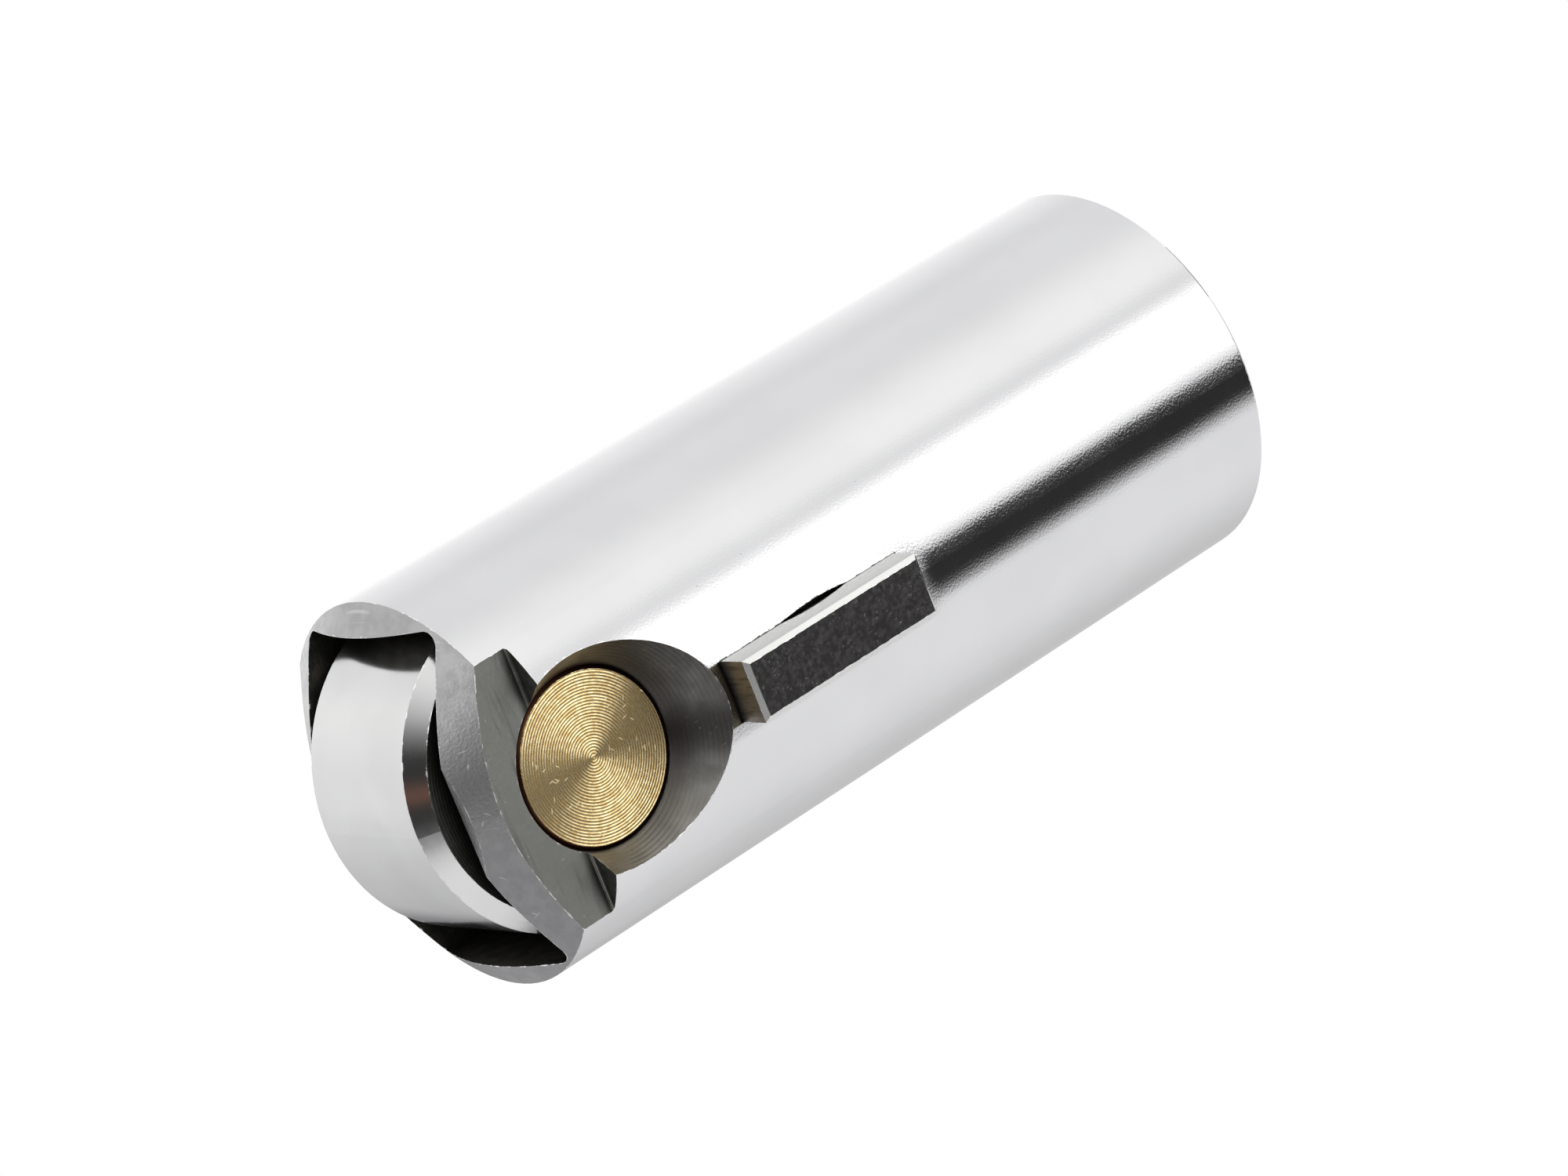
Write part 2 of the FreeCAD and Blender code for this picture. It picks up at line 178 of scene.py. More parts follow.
BOARDS = [
    # name, colour, middle, half width, soft start, soft end, bottom, top, soft height, lean
    ("rear wall", (0.66, 0.66, 0.665), -137, 27, 6, 40, -99, 8, 10, 0),
    ("side wall", (1.10, 1.10, 1.11), 134, 9, 10, 12, -99, 8, 12, 0),
    ("side board", (1.42, 1.42, 1.41), 66, 16, 7, 18, -99, 30, 14, 0),
    ("left board", (1.70, 1.70, 1.69), 178, 10, 10, 12, -20, 16, 8, 0),
    ("ceiling", (0.40, 0.40, 0.40), 0, 181, 1, 1, 64, 99, 14, 0),
    ("upper rear wall", (0.66, 0.66, 0.67), -116.5, 38.5, 25, 8, 4, 66, 8, 0),
    ("high board", (1.30, 1.30, 1.29), 130, 32, 12, 12, 14, 74, 6, 0),
    ("lamp above the high board", (1.8, 1.8, 1.78), 128, 18, 10, 10, 56, 77, 5, 0),
    ("gap between the walls", (0.40, 0.40, 0.40), -89, 8, 8, 7, 18, 60, 8, 0.2),
    ("dark edge of the table", (0.37, 0.37, 0.38), -92, 14, 8, 3, -16, 5, 4, 0),
    ("dark corner of the table", (0.25, 0.25, 0.26), -151, 14, 8, 8, -26, -10, 8, 0),
    ("dark room behind the camera", (0.05, 0.05, 0.05), 4, 36, 15, 18, 22, 99, 10, 0),
    ("warm lamp in the dark room", (0.23, 0.12, 0.09), 3, 5, 5, 7, 38, 60, 8, 0),
    ("long light", (2.4, 2.4, 2.38), 17, 18.5, 9, 9, -99, 24, 10, 0),
    ("black card", (0.035, 0.035, 0.035), -18, 13.6, 7, 1.2, -99, 20, 10, 0.15),
]
BRIGHT_ROOM = (1.17, 1.17, 1.18, 1.0)
colour = BRIGHT_ROOM
for name, tone, middle, half_width, soft_start, soft_end, bottom, top, soft_height, lean in BOARDS:
    patch = place_group(room, board, turn=turn, height=height, middle=middle, half_width=half_width,
                        soft_start=soft_start, soft_end=soft_end, bottom=bottom, top=top,
                        soft_height=soft_height, lean=lean)
    colour = mix_colours(room, patch["Mask"], colour, (*tone, 1.0))
    print("hung", name)

# %% [markdown]
# The boards are there for the metal alone. A catalogue picture has plain white behind its object, so
# for rays that come straight from the camera the world is white, and the light path tells them from
# the others. The standard view keeps that white white, while a filmic one would make it grey.

# %% Show white to the camera
studio = add_node(room, "ShaderNodeBackground")
give(room, studio.inputs["Color"], colour)
white = add_node(room, "ShaderNodeBackground")
white.inputs["Color"].default_value = (1, 1, 1, 1)
seen = add_node(room, "ShaderNodeMixShader")
give(room, seen.inputs[0], add_node(room, "ShaderNodeLightPath").outputs["Is Camera Ray"])
give(room, seen.inputs[1], studio.outputs[0])
give(room, seen.inputs[2], white.outputs[0])
give(room, add_node(room, "ShaderNodeOutputWorld").inputs["Surface"], seen.outputs[0])
bpy.context.scene.view_settings.view_transform = "Standard"
print("room with", len(BOARDS), "boards")

# %% [markdown]
# The floor is a sheet of white acrylic lit from below, as for a catalogue picture. It glows, so it
# shows no shadow, and it is kept out of reflections, so that the boards below the horizon reach the
# metal as they do in a studio where the object hangs over an open table.

# %% Floor
floor_mesh = bpy.data.meshes.new("floor")
reach = 3.0
corners = [(-reach, -reach, 0), (reach, -reach, 0), (reach, reach, 0), (-reach, reach, 0)]
floor_mesh.from_pydata(corners, [], [(0, 1, 2, 3)])
floor = bpy.data.objects.new("floor", floor_mesh)
bpy.context.scene.collection.objects.link(floor)
glow = bpy.data.materials.new("white_acrylic")
glow.use_nodes = True
acrylic = glow.node_tree.nodes["Principled BSDF"]
acrylic.inputs["Base Color"].default_value = (0, 0, 0, 1)
acrylic.inputs["Specular IOR Level"].default_value = 0
acrylic.inputs["Emission Color"].default_value = (1, 1, 1, 1)
acrylic.inputs["Emission Strength"].default_value = 1
floor_mesh.materials.append(glow)
floor.visible_glossy = floor.visible_diffuse = floor.visible_shadow = False
print("floor size, m:", 2 * reach)

# %% [markdown]
# ## What hands and tools leave on metal
# Five small effects return on several pieces, so each is made once as a group.
# Grain is the fine speckle that a grinding wheel leaves: short marks that run round the piece. A
# picture of them could be wrapped round it, but would show a seam. A noise that fills space has
# none. We squeeze it along the axis and leave it long the other way. A noise wants to know how many
# marks fit into a metre, while a maker thinks of their width in millimetres, so a helper turns one
# into the other.

# %% Group for grinding grain
def per_metre(tree, width):
    return work_out(tree, "DIVIDE", 1 / MM, width)


grain, given, made = new_group(
    "grinding_grain",
    [("Squeeze", "NodeSocketVector", (1, 1, 1)), ("Mark Width", "NodeSocketFloat", 0.15)],
    [("Height", "NodeSocketFloat")])
place = add_node(grain, "ShaderNodeTexCoord").outputs["Object"]
squeezed = add_node(grain, "ShaderNodeVectorMath", operation="MULTIPLY")
give(grain, squeezed.inputs[0], place)
give(grain, squeezed.inputs[1], given["Squeeze"])
fine = add_node(grain, "ShaderNodeTexNoise")
fine.inputs["Detail"].default_value = 2.0
give(grain, fine.inputs["Vector"], squeezed.outputs[0])
give(grain, fine.inputs["Scale"], per_metre(grain, given["Mark Width"]))
give(grain, made["Height"], fine.outputs[0])
print("grain group ready")

# %% [markdown]
# Turned faces carry rings: the tool moves out by a fraction of a millimetre with each turn. The
# height of the surface is a row of small arches over the distance from the axis, made a little
# uneven by a noise that changes with the radius alone. Real grooves would need millions of faces
# and look no better. This group works round a line that runs along X, at any height.

# %% Group for turned rings
def distance(tree, first, second):
    squares = [work_out(tree, "POWER", part, 2.0) for part in (first, second)]
    return work_out(tree, "SQRT", work_out(tree, "ADD", *squares))


rings, given, made = new_group(
    "turned_rings",
    [("Axis Height", "NodeSocketFloat", 0.0), ("Pitch", "NodeSocketFloat", 0.2)],
    [("Height", "NodeSocketFloat")])
place = add_node(rings, "ShaderNodeSeparateXYZ")
give(rings, place.inputs[0], add_node(rings, "ShaderNodeTexCoord").outputs["Object"])
up = work_out(rings, "SUBTRACT", place.outputs["Z"], given["Axis Height"])
radius = distance(rings, place.outputs["Y"], up)
turns = work_out(rings, "DIVIDE", work_out(rings, "MULTIPLY", radius, 1 / MM), given["Pitch"])
wave = work_out(rings, "SINE", work_out(rings, "MULTIPLY", turns, math.pi))
wave = work_out(rings, "ABSOLUTE", wave)
uneven = add_node(rings, "ShaderNodeTexNoise", noise_dimensions="1D")
uneven.inputs["Detail"].default_value = 3.0
uneven.inputs["Scale"].default_value = 0.7
give(rings, uneven.inputs["W"], turns)
UNEVEN_SHARE, LEAST_DEPTH = 0.4, 0.8
depth = work_out(rings, "MULTIPLY_ADD", uneven.outputs[0], UNEVEN_SHARE, LEAST_DEPTH)
give(rings, made["Height"], work_out(rings, "MULTIPLY", wave, depth))
print("ring group ready")

# %% [markdown]
# No real edge is perfectly sharp. A file or a tumbling drum breaks it by a tenth of a millimetre,
# and that narrow round catches the light as a thin line. The Bevel node rounds the shading of an
# edge without touching the mesh. A noise makes the round wider here and narrower there, as nicks
# and burrs do. Where the rounded direction leaves the flat one, we are on an edge.

# %% Group for broken edges
broken_edge, given, made = new_group(
    "broken_edge",
    [("Width", "NodeSocketFloat", 0.15), ("Nick Size", "NodeSocketFloat", 0.6)],
    [("Normal", "NodeSocketVector"), ("Mask", "NodeSocketFloat")])
nicks = add_node(broken_edge, "ShaderNodeTexNoise")
nicks.inputs["Detail"].default_value = 3.0
give(broken_edge, nicks.inputs["Vector"], add_node(broken_edge, "ShaderNodeTexCoord").outputs["Object"])
give(broken_edge, nicks.inputs["Scale"], per_metre(broken_edge, given["Nick Size"]))
NARROWEST, WIDEST = 0.15, 2.6
widening = fade(broken_edge, nicks.outputs[0], 0.46, 0.68, NARROWEST, WIDEST)
width = work_out(broken_edge, "MULTIPLY", given["Width"], MM)
width = work_out(broken_edge, "MULTIPLY", width, widening)
rounded = add_node(broken_edge, "ShaderNodeBevel", samples=8)
give(broken_edge, rounded.inputs["Radius"], width)
flat = add_node(broken_edge, "ShaderNodeNewGeometry")
likeness = add_node(broken_edge, "ShaderNodeVectorMath", operation="DOT_PRODUCT")
give(broken_edge, likeness.inputs[0], rounded.outputs[0])
give(broken_edge, likeness.inputs[1], flat.outputs["Normal"])
give(broken_edge, made["Normal"], rounded.outputs[0])
STILL_FLAT, SURELY_EDGE = 0.995, 0.93
# The skeleton of a metal paints a lighter tone along this mask: partly wear, partly a painted
# highlight.
on_edge = fade(broken_edge, likeness.outputs["Value"], STILL_FLAT, SURELY_EDGE)
give(broken_edge, made["Mask"], on_edge)
print("edge group ready")

# %% [markdown]
# Handling leaves a few tiny pits, and a slow cloudiness where oil and fingers have been. A Voronoi
# pattern gives the pits: only some of its cells are used, each chosen by its own random value. A
# noise would do too, but its spots hang together, while pits lie apart. The clouds do hang
# together, so they are a large soft noise.

# %% Group for handling marks
handling, given, made = new_group(
    "handling_marks",
    [("Pit Spacing", "NodeSocketFloat", 2.0), ("Share", "NodeSocketFloat", 0.3),
     ("Pit Size", "NodeSocketFloat", 0.06), ("Cloud Size", "NodeSocketFloat", 8.0)],
    [("Pits", "NodeSocketFloat"), ("Clouds", "NodeSocketFloat")])
place = add_node(handling, "ShaderNodeTexCoord").outputs["Object"]
cells = add_node(handling, "ShaderNodeTexVoronoi")
give(handling, cells.inputs["Vector"], place)
give(handling, cells.inputs["Scale"], per_metre(handling, given["Pit Spacing"]))
chosen = add_node(handling, "ShaderNodeSeparateColor")
give(handling, chosen.inputs[0], cells.outputs["Color"])
used = work_out(handling, "LESS_THAN", chosen.outputs[0], given["Share"])
near = fade(handling, cells.outputs["Distance"], given["Pit Size"], 0.0)
give(handling, made["Pits"], work_out(handling, "MULTIPLY", used, near))
clouds = add_node(handling, "ShaderNodeTexNoise")
clouds.inputs["Detail"].default_value = 3.0
give(handling, clouds.inputs["Vector"], place)
give(handling, clouds.inputs["Scale"], per_metre(handling, given["Cloud Size"]))
give(handling, made["Clouds"], clouds.outputs[0])
print("handling group ready")

# %% [markdown]
# Scratches are pits drawn out into short strokes. We lay the pattern flat on the face, given by two
# directions in it, turn it, and stretch it along one side. Three turns of the same pattern give
# strokes that cross each other, as parts rubbing in a box leave them.

# %% Group for fine scratches
scratching, given, made = new_group(
    "fine_scratches",
    [("Across", "NodeSocketVector", (0, 1, 0)), ("Up", "NodeSocketVector", (0, 0, 1)),
     ("Spacing", "NodeSocketFloat", 0.6), ("Stretch", "NodeSocketFloat", 6.0),
     ("Share", "NodeSocketFloat", 0.3), ("Size", "NodeSocketFloat", 0.06)],
    [("Mask", "NodeSocketFloat")])
place = add_node(scratching, "ShaderNodeTexCoord").outputs["Object"]
flat_place = add_node(scratching, "ShaderNodeCombineXYZ")
for name in ("Across", "Up"):
    along = add_node(scratching, "ShaderNodeVectorMath", operation="DOT_PRODUCT")
    give(scratching, along.inputs[0], place)
    give(scratching, along.inputs[1], given[name])
    give(scratching, flat_place.inputs["X" if name == "Across" else "Y"], along.outputs["Value"])
per_length = per_metre(scratching, given["Spacing"])
squeeze = add_node(scratching, "ShaderNodeCombineXYZ")
give(scratching, squeeze.inputs["X"], work_out(scratching, "DIVIDE", per_length, given["Stretch"]))
give(scratching, squeeze.inputs["Y"], per_length)
STROKE_TURNS = (20, 75, 140)
strokes = 0.0
for degrees in STROKE_TURNS:
    turned = add_node(scratching, "ShaderNodeVectorRotate", rotation_type="Z_AXIS")
    give(scratching, turned.inputs["Vector"], flat_place.outputs[0])
    turned.inputs["Angle"].default_value = math.radians(degrees)
    stretched = add_node(scratching, "ShaderNodeVectorMath", operation="MULTIPLY")
    give(scratching, stretched.inputs[0], turned.outputs[0])
    give(scratching, stretched.inputs[1], squeeze.outputs[0])
    cells = add_node(scratching, "ShaderNodeTexVoronoi", voronoi_dimensions="2D")
    cells.inputs["Scale"].default_value = 1.0
    give(scratching, cells.inputs["Vector"], stretched.outputs[0])
    chosen = add_node(scratching, "ShaderNodeSeparateColor")
    give(scratching, chosen.inputs[0], cells.outputs["Color"])
    used = work_out(scratching, "LESS_THAN", chosen.outputs[0], given["Share"])
    near = fade(scratching, cells.outputs["Distance"], given["Size"], 0.0)
    strokes = work_out(scratching, "MAXIMUM", work_out(scratching, "MULTIPLY", used, near), strokes)
give(scratching, made["Mask"], strokes)
print("scratch group ready")

# %% [markdown]
# ## Building a metal
# All the finishes are metals, so they share one skeleton. The colour is mixed from a plain tone, a
# cloudy second tone, dark pits, scratches and a brighter edge, which is partly wear and partly a
# painted highlight. The roughness follows the clouds and has a value of its own in a scratch. The
# normal comes from the broken edge. Writing the skeleton once keeps the metals alike, and each call
# below gives only what differs. Widths, spacings and the size of a cloud are in millimetres, and the
# size of a pit or a scratch is a share of its spacing. The values of a noise crowd round one half, so
# the fades use only its middle part.

# %% The shared skeleton of a metal
PIT_BRIGHTNESS = 0.35


def make_metal(name, tone, cloud_tone, rough, rough_change=0.03, edge_wear_and_highlight_tone=None, edge_width=0.12,
               pit_share=0.25, pit_spacing=2.5, pit_size=0.03, cloud_size=7.0,
               scratch_share=0.0, scratch_spacing=0.6, scratch_size=0.06, scratch_tone=None,
               scratch_rough=0.6):
    metal = bpy.data.materials.new(name)
    metal.use_nodes = True
    tree = metal.node_tree
    shader = tree.nodes["Principled BSDF"]
    shader.inputs["Metallic"].default_value = 1.0
    marks = place_group(tree, handling, pit_spacing=pit_spacing, share=pit_share, pit_size=pit_size,
                        cloud_size=cloud_size)
    edge = place_group(tree, broken_edge, width=edge_width)
    shade = mix_colours(tree, fade(tree, marks["Clouds"], 0.35, 0.65), (*tone, 1.0), (*cloud_tone, 1.0))
    pit_tone = tuple(PIT_BRIGHTNESS * part for part in tone)
    shade = mix_colours(tree, marks["Pits"], shade, (*pit_tone, 1.0))
    roughness = fade(tree, marks["Clouds"], 0.3, 0.7, rough - rough_change, rough + rough_change)
    if scratch_share:
        strokes = place_group(tree, scratching, spacing=scratch_spacing, share=scratch_share,
                              size=scratch_size)["Mask"]
        shade = mix_colours(tree, strokes, shade, (*(scratch_tone or tone), 1.0))
        roughness = fade(tree, strokes, 0.0, 1.0, roughness, scratch_rough)
    # A lighter tone along the edges: partly wear and partly a painted highlight.
    shade = mix_colours(tree, edge["Mask"], shade, (*(edge_wear_and_highlight_tone or tone), 1.0))
    give(tree, shader.inputs["Base Color"], shade)
    give(tree, shader.inputs["Roughness"], roughness)
    give(tree, shader.inputs["Normal"], edge["Normal"])
    return metal, tree, shader, edge


print("skeleton ready")

# %% [markdown]
# A few more helpers dress the skeleton. One paints a tone or a roughness over what is there. One
# gives the place on the piece, and one fades over a distance in millimetres, so that a mask can end
# where a tool ended. The others make bumps: plain, from grain, or from rings round the pin's axis. A
# bump only bends the light, which is enough for marks a hundredth of a millimetre deep.

# %% Helpers for a metal
PIN_HEIGHT = 73.5


def paint_over(tree, socket, share, wanted):
    before = socket.links[0].from_socket
    if isinstance(wanted, tuple):
        give(tree, socket, mix_colours(tree, share, before, (*wanted, 1.0)))
    else:
        give(tree, socket, fade(tree, share, 0.0, 1.0, before, wanted))


def places_on_piece(tree):
    place = add_node(tree, "ShaderNodeSeparateXYZ")
    give(tree, place.inputs[0], add_node(tree, "ShaderNodeTexCoord").outputs["Object"])
    return place.outputs


def fade_mm(tree, value, start, end, low=0.0, high=1.0):
    return fade(tree, value, start * MM, end * MM, low, high)


def add_bump(tree, shader, edge, height, depth):
    bump = add_node(tree, "ShaderNodeBump")
    bump.inputs["Distance"].default_value = depth * MM
    give(tree, bump.inputs["Height"], height)
    give(tree, bump.inputs["Normal"], edge["Normal"])
    give(tree, shader.inputs["Normal"], bump.outputs[0])


def add_grain(tree, shader, edge, squeeze, mark_width, depth):
    marks = place_group(tree, grain, squeeze=squeeze, mark_width=mark_width)
    add_bump(tree, shader, edge, marks["Height"], depth)


def add_rings(tree, shader, edge, pitch, depth):
    marks = place_group(tree, rings, axis_height=PIN_HEIGHT * MM, pitch=pitch)
    add_bump(tree, shader, edge, marks["Height"], depth)


print("pin height, mm:", PIN_HEIGHT)

# %% [markdown]
# ## Ground steel
# The outside of the body was ground between two wheels after hardening. It is bright, and a faint
# grain takes the last sharpness from its reflections. The marks are a little shorter along the body
# than round it, so the noise is squeezed a little along Z. Round the keyway the edges were dressed
# by hand with a stone, which leaves a rougher band with a deeper grain. Between the end of the key
# and the recess of the pin, shade is painted as wide as the key, with a painted shadow nearly black
# where it meets the key. Both are masks made from the place on the piece, because they end where the
# tools ended.

# %% Ground steel of the body
ground_steel, tree, shader, edge = make_metal(
    "ground_steel", (0.60, 0.60, 0.605), (0.585, 0.585, 0.59), rough=0.10, rough_change=0.015,
    edge_wear_and_highlight_tone=(0.95, 0.95, 0.95), edge_width=0.10)
place = places_on_piece(tree)
from_middle = work_out(tree, "ABSOLUTE", place["Y"])
key_side = work_out(tree, "GREATER_THAN", place["X"], 0.0)

# Both masks fade beside the middle of the key, then below and above it, between two millimetres.
DRESSED_ROUGH, DEEPER_BY = 0.3, 2.5
dressed = overlap(tree, fade_mm(tree, from_middle, 4.6, 3.4), fade_mm(tree, place["Z"], 38.6, 41.2),
                  fade_mm(tree, place["Z"], 66.0, 64.0), key_side)
paint_over(tree, shader.inputs["Roughness"], dressed, DRESSED_ROUGH)

# Painted shade between the key's end and the recess, where the keyway runs out.
painted_keyway_shade = overlap(tree, fade_mm(tree, from_middle, 2.8, 2.7), fade_mm(tree, place["Z"], 61.7, 61.8),
                  fade_mm(tree, place["Z"], 66.0, 65.0), key_side)
paint_over(tree, shader.inputs["Base Color"], painted_keyway_shade, (0.10, 0.09, 0.07))
# Painted shadow, nearly black, where this shade meets the key.
painted_shadow_at_key = overlap(tree, painted_keyway_shade, fade_mm(tree, place["Z"], 62.5, 62.0))
paint_over(tree, shader.inputs["Base Color"], painted_shadow_at_key, (0.02, 0.015, 0.012))

marks = place_group(tree, grain, squeeze=(1.0, 1.0, 1.3), mark_width=0.2)
deeper = work_out(tree, "MULTIPLY_ADD", dressed, DEEPER_BY, 1.0)
add_bump(tree, shader, edge, work_out(tree, "MULTIPLY", marks["Height"], deeper), depth=0.008)
print("made", ground_steel.name)

# %% [markdown]
# ## Grey skin
# The nose, the flats, the recesses and the pocket were cut before hardening and never ground, so
# the furnace has left them grey. One grey for all of them would be simpler, but then the shapes
# would melt into each other, as light alone hardly parts such dull faces. The nose is the lightest
# of them, slightly mottled and scratched, with a grain that runs no way in particular.

# %% Nose
nose_skin, tree, shader, edge = make_metal(
    "turned_nose", (0.34, 0.34, 0.345), (0.305, 0.305, 0.31), rough=0.34, edge_wear_and_highlight_tone=(0.85, 0.85, 0.85),
    edge_width=0.10, pit_share=0.4, pit_spacing=0.9, cloud_size=1.2,
    scratch_share=0.25, scratch_spacing=0.7, scratch_size=0.09, scratch_tone=(0.55, 0.55, 0.55))
add_grain(tree, shader, edge, squeeze=(1.0, 1.0, 1.0), mark_width=0.28, depth=0.022)
print("made", nose_skin.name)

# %% [markdown]
# The flats were milled. They are rougher, with a hint of green and darker lines along the cut, and
# shade is painted on them, nearly black at the bottom beside the foot. The foot, the narrow round that
# the corner of the cutter leaves, is dark and has a skin of its own. The lines are the grain once more,
# stretched along Y.

# %% Flats and their feet
flat_skin, tree, shader, edge = make_metal(
    "milled_flat", (0.245, 0.25, 0.228), (0.21, 0.215, 0.195), rough=0.46,
    edge_wear_and_highlight_tone=(0.85, 0.85, 0.83), edge_width=0.10, pit_share=0.5, pit_spacing=0.8, cloud_size=2.5,
    scratch_share=0.2, scratch_spacing=0.6, scratch_tone=(0.5, 0.5, 0.48))
lines = place_group(tree, grain, squeeze=(1.0, 0.12, 1.0), mark_width=0.7)
darker = fade(tree, lines["Height"], 0.5, 0.72)
paint_over(tree, shader.inputs["Base Color"], darker, (0.17, 0.175, 0.16))
# Painted shade: the flat goes nearly black low down, towards its foot.
bottom = fade_mm(tree, places_on_piece(tree)["Z"], 78.5, 77.5)
paint_over(tree, shader.inputs["Base Color"], bottom, (0.035, 0.035, 0.03))
add_grain(tree, shader, edge, squeeze=(1.0, 0.5, 1.0), mark_width=0.26, depth=0.016)

foot_skin, tree, shader, edge = make_metal(
    "foot_of_flat", (0.14, 0.138, 0.128), (0.08, 0.08, 0.074), rough=0.5, cloud_size=0.9,
    pit_share=0.5, pit_spacing=0.6, scratch_share=0.15, scratch_spacing=0.5,
    scratch_tone=(0.22, 0.22, 0.2))
add_grain(tree, shader, edge, squeeze=(1.0, 0.5, 1.0), mark_width=0.3, depth=0.012)
print("made", flat_skin.name, "and", foot_skin.name)

# %% [markdown]
# A recess was turned round the pin's axis, so it carries faint rings. Shade is painted into it near
# the pin, painted light makes it lighter on one side, and a painted shadow darker on the other. Masks
# from the place on the piece do this in a few lines, while a painted picture would have to be fitted to
# the cone.

# %% Recess
recess_skin, tree, shader, edge = make_metal(
    "turned_recess", (0.15, 0.148, 0.142), (0.112, 0.11, 0.105), rough=0.34,
    edge_wear_and_highlight_tone=(0.8, 0.8, 0.78), edge_width=0.08, pit_share=0.5, pit_spacing=0.8, cloud_size=2.0,
    scratch_share=0.2, scratch_spacing=0.5, scratch_tone=(0.3, 0.29, 0.27))
place = places_on_piece(tree)
# Painted shade: darker deeper in the recess, towards the pin.
painted_shade_near_pin = fade_mm(tree, work_out(tree, "ABSOLUTE", place["X"]), 15.6, 13.2, high=0.8)
paint_over(tree, shader.inputs["Base Color"], painted_shade_near_pin, (0.05, 0.046, 0.043))
# Painted light: a lighter tone on the -Y side of the recess.
painted_light_minus_y = overlap(tree, fade_mm(tree, place["Y"], -3.5, -8.5),
               fade_mm(tree, place["Z"], 70.0, 74.5, low=0.3))
paint_over(tree, shader.inputs["Base Color"], painted_light_minus_y, (0.36, 0.345, 0.305))
# Painted shadow: darker on the +Y side, beside the pin.
painted_shadow_plus_y = overlap(tree, fade_mm(tree, place["Y"], 6.5, 8.5),
                fade_mm(tree, place["Z"], 76.0, 74.0, high=0.5))
paint_over(tree, shader.inputs["Base Color"], painted_shadow_plus_y, (0.05, 0.045, 0.042))
add_rings(tree, shader, edge, pitch=0.25, depth=0.006)
print("made", recess_skin.name)

# %% [markdown]
# The pocket in which the roller runs was milled deep into the end. Hardly any light gets in, and its
# walls are the darkest of these skins. The bore and the holes, which nobody sees, take the same one.

# %% Pocket
pocket_skin, tree, shader, edge = make_metal(
    "milled_pocket", (0.085, 0.08, 0.07), (0.04, 0.04, 0.035), rough=0.5,
    edge_wear_and_highlight_tone=(0.6, 0.6, 0.58), edge_width=0.10, cloud_size=1.5)
add_grain(tree, shader, edge, squeeze=(1.0, 1.0, 3.0), mark_width=0.4, depth=0.02)
print("made", pocket_skin.name)

# %% [markdown]
# ## Roller
# The roller's tread is ground bright, with fine lines that run round it. Its bevel is polished and
# shines most. Its sides keep the dark skin of hardening, with the curved marks of the lathe. The lines
# are the same grain as on the body, only stretched much further round the axis, and the marks of
# the lathe are the same rings as on the pin.

# %% Roller
roller_tread, tree, shader, edge = make_metal(
    "roller_tread", (0.60, 0.60, 0.60), (0.57, 0.57, 0.57), rough=0.16, edge_wear_and_highlight_tone=(1.0, 1.0, 1.0),
    edge_width=0.10, pit_share=0.2, pit_spacing=1.6, pit_size=0.04)
add_grain(tree, shader, edge, squeeze=(5.0, 0.6, 0.6), mark_width=0.6, depth=0.002)

roller_bevel, tree, shader, edge = make_metal(
    "roller_bevel", (0.58, 0.58, 0.575), (0.55, 0.55, 0.545), rough=0.13, rough_change=0.02,
    edge_wear_and_highlight_tone=(1.0, 1.0, 1.0), edge_width=0.10, pit_share=0.45, pit_spacing=0.7, pit_size=0.08)
add_grain(tree, shader, edge, squeeze=(4.0, 0.5, 0.5), mark_width=0.8, depth=0.0025)

roller_side, tree, shader, edge = make_metal(
    "roller_side", (0.085, 0.085, 0.08), (0.05, 0.05, 0.045), rough=0.42, edge_wear_and_highlight_tone=(0.5, 0.5, 0.5),
    cloud_size=1.2)
add_rings(tree, shader, edge, pitch=0.28, depth=0.008)
print("made", roller_tread.name, roller_bevel.name, roller_side.name)

# %% [markdown]
# ## Pin
# The pin is bronze, and its flat ends show the rings of the lathe. Lighter and browner patches lie
# over them, as bronze tarnishes in spots. Its chamfer is duller, and its dark brown is painted shade
# and a painted dark reflection. The gold of bronze is the colour of its reflections and not a paint,
# so it goes into the base colour of a metal. We make it a little less than fully metallic, because the
# tarnish is a thin film and no metal.

# %% Pin
bronze, tree, shader, edge = make_metal(
    "bronze", (1.0, 0.79, 0.425), (0.70, 0.50, 0.225), rough=0.235, edge_wear_and_highlight_tone=(0.95, 0.74, 0.42),
    edge_width=0.05, pit_share=0.3, pit_spacing=0.5, pit_size=0.10, cloud_size=0.45,
    scratch_share=0.35, scratch_spacing=0.7, scratch_size=0.09, scratch_tone=(1.0, 0.86, 0.56),
    scratch_rough=0.5)
shader.inputs["Metallic"].default_value = 0.95
add_rings(tree, shader, edge, pitch=0.25, depth=0.0165)

# Painted shade: the chamfer is a dark copy of the bronze, standing in for shadow and a dark reflection.
pin_chamfer, tree, shader, edge = make_metal(
    "pin_chamfer", (0.10, 0.045, 0.025), (0.06, 0.025, 0.015), rough=0.35, edge_width=0.04)
add_grain(tree, shader, edge, squeeze=(1.0, 1.0, 1.0), mark_width=0.2, depth=0.006)
print("made", bronze.name, pin_chamfer.name)

# %% [markdown]
# ## Key and cup
# The key is plain ground steel: it only looks black where it faces the black card. Its sides are a
# little darker than its chamfers, its outer face is mottled, and a dark line marks the joint with
# the body. Its ends were sawn, so they are brownish and carry the lines of the saw. The cup is
# hidden in the bore and keeps the dark skin of hardening, so the skeleton and a faint grain will do.

